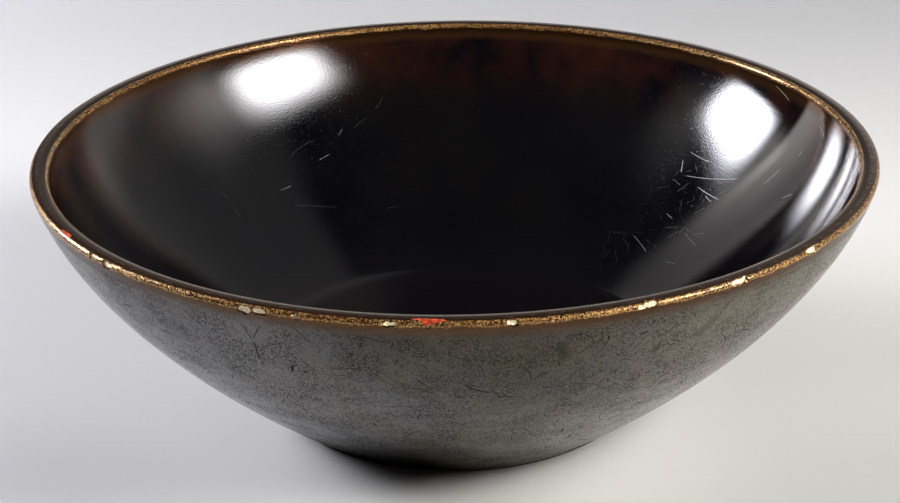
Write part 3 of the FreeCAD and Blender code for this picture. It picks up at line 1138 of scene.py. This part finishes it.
# The room that the gloss mirrors. "across" is a window of azimuths and "up" one of elevations, each
# with its softness. The other rows are steps: from, to, and the level at each end unless 0 and 1.
room = {
    "tint": (1.03, 0.985, 0.95),
    "base": 0.015,
    "glowRise": (76, 86),
    "glowEnd": (120, 80),
    "glowLevel": (80, 120, 2.2, 0.5),
    "glowUp": (20, 38, 8),
    "wallAcross": (76, 168, 6),
    "wallLevel": (15, 36, 0.23, 0.165),
    "wallTop": (66, 58),
    "wallCorner": (58, 49),
    "cornerAzimuth": 85,
    "cornerSlant": -0.35,
    "horizonAcross": (108, 150, 10),
    "horizonUp": (-2, 13, 5),
    "horizonLevel": 0.36,
    "backLeft": (145, 160),
    "backRight": (-160, -172),
    "backLevel": (8, 22, 0.84, 0.12),
    "backTop": (36, 22),
    "panelAcross": (-145, -125.8, 0.8),
    "panelLevel": (-141, -126, 0.60, 1.95),
    "panelUp": (17, 42, 1.0, 0.12),
    "panelTop": (54, 40),
    "flareAcross": (-129, -121.5, 1.2),
    "flareUp": (16, 33, 4),
    "flareLevel": 1.4,
    "hazeAcross": (-104, -84, 8),
    "hazeUp": (24, 44, 8),
    "hazeLevel": 0.4,
}


# a glow beside the right box, a pale wall behind the bowl, and a narrow panel and a haze at the left
def makeSky():
    world = bpy.data.worlds.new("studio")
    bpy.context.scene.world = world
    world.use_nodes = True
    tree = world.node_tree
    tree.nodes.clear()
    parts = axes(tree, addNode(tree, "TexCoord").outputs["Generated"])
    azimuth = maths(tree, "ARCTAN2", parts["X"], maths(tree, "MULTIPLY", parts["Y"], -1.0))
    azimuth = maths(tree, "DEGREES", azimuth)
    elevation = maths(tree, "DEGREES", maths(tree, "ARCSINE", parts["Z"]))

    def steps(value, *names):
        return [ease(tree, value, *room[name]) for name in names]

    def patch(across, up):
        return times(tree, window(tree, azimuth, *room[across]), window(tree, elevation, *room[up]))

    glow = steps(azimuth, "glowRise", "glowEnd", "glowLevel")
    glow = product(tree, [*glow, window(tree, elevation, *room["glowUp"])])
    slanted = maths(tree, "SUBTRACT", azimuth, room["cornerAzimuth"])
    slanted = maths(tree, "MULTIPLY_ADD", slanted, room["cornerSlant"], elevation)
    wall = [window(tree, azimuth, *room["wallAcross"]), *steps(slanted, "wallCorner")]
    wall = product(tree, [*wall, *steps(elevation, "wallLevel", "wallTop")])
    behind = maths(tree, "ADD", *steps(azimuth, "backLeft", "backRight"))
    behind = product(tree, [*steps(elevation, "backLevel", "backTop"), behind])
    panel = product(tree, [window(tree, azimuth, *room["panelAcross"]), *steps(azimuth, "panelLevel")])
    panel = maths(tree, "MULTIPLY_ADD", patch("flareAcross", "flareUp"), room["flareLevel"], panel)
    panel = product(tree, [panel, *steps(elevation, "panelUp", "panelTop")])
    haze = times(tree, patch("hazeAcross", "hazeUp"), room["hazeLevel"])
    horizon = times(tree, patch("horizonAcross", "horizonUp"), room["horizonLevel"])
    gloss = folded(tree, "ADD", [room["base"], glow, wall, behind, panel, haze, horizon])

    rays = addNode(tree, "LightPath").outputs
    level = mixValue(tree, rays["Is Glossy Ray"], studio["fill"], gloss)
    grey = addNode(tree, "CombineXYZ", {0: level, 1: level, 2: level}).outputs[0]
    tinted = vectorMaths(tree, "MULTIPLY", grey, room["tint"])
    colour = mixColour(tree, rays["Is Camera Ray"], tinted, studio["skyForCamera"])
    sky = addNode(tree, "Background", {"Color": colour, "Strength": 1.0})
    addNode(tree, "OutputWorld", {0: sky.outputs[0]})


# a soft box: an area light whose face fades at its edges
def makeSoftBox(name, azimuth, elevation, distance, roll, width, height, radiance, colour, fades):
    azimuth, elevation = math.radians(azimuth), math.radians(elevation)
    flat = math.cos(elevation)
    away = Vector((math.sin(azimuth) * flat, -math.cos(azimuth) * flat, math.sin(elevation)))
    lamp = bpy.data.lights.new(name, "AREA")
    lamp.shape = "RECTANGLE"
    lamp.size = width
    lamp.size_y = height
    lamp.color = colour
    lamp.energy = radiance * math.pi * width * height
    lamp.use_nodes = True
    tree = lamp.node_tree
    face = axes(tree, addNode(tree, "NewGeometry").outputs["Parametric"])
    left, right, low, high = fades or studio["plainFades"]
    across = times(tree, ease(tree, face["X"], 0, left), ease(tree, face["X"], 1, 1 - right))
    level = product(tree, [across, ease(tree, face["Y"], 0, low), ease(tree, face["Y"], 1, 1 - high)])
    fill(tree.nodes["Emission"], {"Strength": level})
    item = bpy.data.objects.new(name, lamp)
    item.location = away * distance
    turn = Quaternion((0, 0, 1), math.radians(roll))
    item.rotation_euler = (away.to_track_quat("Z", "Y") @ turn).to_euler()
    item.visible_camera = False
    item.visible_glossy = bool(fades)
    item.visible_diffuse = not fades
    bpy.context.scene.collection.objects.link(item)


makeFloor()
makeSky()
for box in studio["boxes"]:
    makeSoftBox(*box)

photoCamera = {
    "lens": 92.0,
    "sensor": 36.0,
    "place": (-0.001806, -0.719058, 0.359086),
    "lookDown": 23.131,
    "roll": 0.834,
}
cameraData = bpy.data.cameras.new("camera")
cameraData.lens = photoCamera["lens"]
cameraData.sensor_width = photoCamera["sensor"]
camera = bpy.data.objects.new("camera", cameraData)
tilt = Matrix.Rotation(math.radians(90 - photoCamera["lookDown"]), 4, "X")
roll = Matrix.Rotation(math.radians(-photoCamera["roll"]), 4, "Z")
camera.matrix_world = Matrix.Translation(photoCamera["place"]) @ tilt @ roll
bpy.context.scene.collection.objects.link(camera)
bpy.context.scene.camera = camera
bpy.context.scene.view_settings.view_transform = "Standard"
print("stage, lights and camera made")
